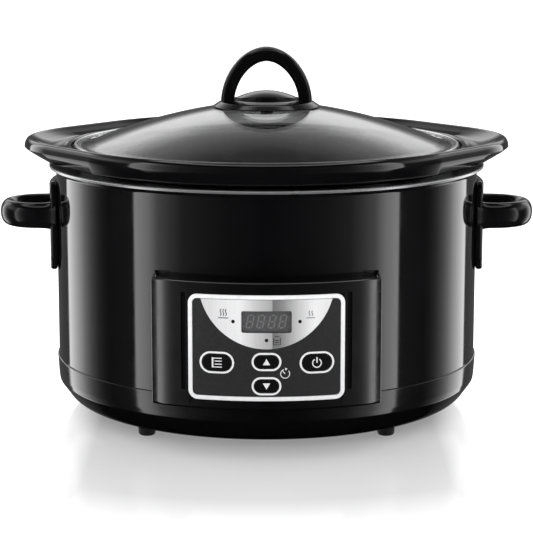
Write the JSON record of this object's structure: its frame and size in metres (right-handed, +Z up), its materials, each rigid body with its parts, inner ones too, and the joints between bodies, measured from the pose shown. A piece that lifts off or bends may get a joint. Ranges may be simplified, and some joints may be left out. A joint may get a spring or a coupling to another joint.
{
  "type": "slow cooker",
  "caption": "Round electric slow cooker with side handles, curved control panel with keys and display, lift-out eared stoneware crock and domed glass lid with arch handle.",
  "frame": {"origin": "on the floor plane under the feet, at the centre of the overall box, which is the pot's axis", "axes": "+Z up along the pot's axis, -Y towards the control panel at the front, +X towards the right handle"},
  "size_m": [0.38, 0.3276, 0.2551],
  "materials": {
    "black_enamel": "gloss",
    "trim_chrome": "polished",
    "well_steel": "satin",
    "mica": "satin",
    "zinc": "satin",
    "sensor_ceramic": "matte",
    "black_plastic": "gloss",
    "foot_rubber": "matte",
    "frame_silver": "satin",
    "panel_grey": "satin",
    "silver_print": "brushed",
    "smoked_window": "gloss",
    "display_black": "matte",
    "led_red": "gloss",
    "key_black": "satin",
    "board_green": "satin",
    "component_dark": "matte",
    "lead_sleeve": "matte",
    "ribbon_grey": "matte",
    "black_stoneware": "gloss",
    "lid_glass": "gloss",
    "lid_band": "polished",
    "silicone": "matte"
  },
  "bodies": {
    "housing": {"outer_shell": "black_enamel", "top_trim_ring": "trim_chrome", "heating_well": "well_steel", "heater_band": "mica", "heater_straps": "zinc", "thermistor": "sensor_ceramic", "thermal_fuse": "sensor_ceramic", "well_bracket": "zinc", "base_ring": "black_plastic", "bottom_plate": "zinc", "centre_bolt": "zinc", "base_screws": "zinc", "feet": "foot_rubber", "cord_gland": "foot_rubber", "side_handle_left": "black_plastic", "side_handle_right": "black_plastic", "handle_screws": "zinc", "control_housing": "black_plastic", "housing_screws": "zinc", "panel_frame": "frame_silver", "faceplate": "panel_grey", "silver_inlay": "silver_print", "display_window": "smoked_window", "display_module": "display_black", "status_leds": "led_red", "button_rings": "frame_silver", "control_board": "board_green", "key_switches": "component_dark", "board_screws": "zinc", "power_board": "board_green", "power_components": "component_dark", "ribbon_cable": "ribbon_grey", "terminal_block": "sensor_ceramic", "heater_leads": "lead_sleeve", "mains_leads": "ribbon_grey"},
    "crock": {"stoneware_crock": "black_stoneware"},
    "lid": {"lid_glass": "lid_glass", "lid_rim_band": "lid_band", "lid_handle": "black_plastic", "handle_gasket": "silicone", "lid_washer": "silicone", "lid_screw": "zinc"},
    "mode_key": {"mode_button": "key_black"},
    "power_key": {"power_button": "key_black"},
    "up_key": {"up_button": "key_black"},
    "down_key": {"down_button": "key_black"}
  },
  "joints": [
    {"name": "crock_lift", "type": "slide", "parent": "housing", "child": "crock", "axis": [0, 0, 1], "range_m": [0, 0.16]},
    {"name": "lid_lift", "type": "slide", "parent": "crock", "child": "lid", "axis": [0, 0, 1], "range_m": [0, 0.12]},
    {"name": "mode_press", "type": "slide", "parent": "housing", "child": "mode_key", "axis": [0, 1, 0], "range_m": [0, 0.0008], "stiffness_N_per_m": 400, "springref_m": -0.001},
    {"name": "power_press", "type": "slide", "parent": "housing", "child": "power_key", "axis": [0, 1, 0], "range_m": [0, 0.0008], "stiffness_N_per_m": 400, "springref_m": -0.001},
    {"name": "up_press", "type": "slide", "parent": "housing", "child": "up_key", "axis": [0, 1, 0], "range_m": [0, 0.0008], "stiffness_N_per_m": 400, "springref_m": -0.001},
    {"name": "down_press", "type": "slide", "parent": "housing", "child": "down_key", "axis": [0, 1, 0], "range_m": [0, 0.0008], "stiffness_N_per_m": 400, "springref_m": -0.001}
  ]
}
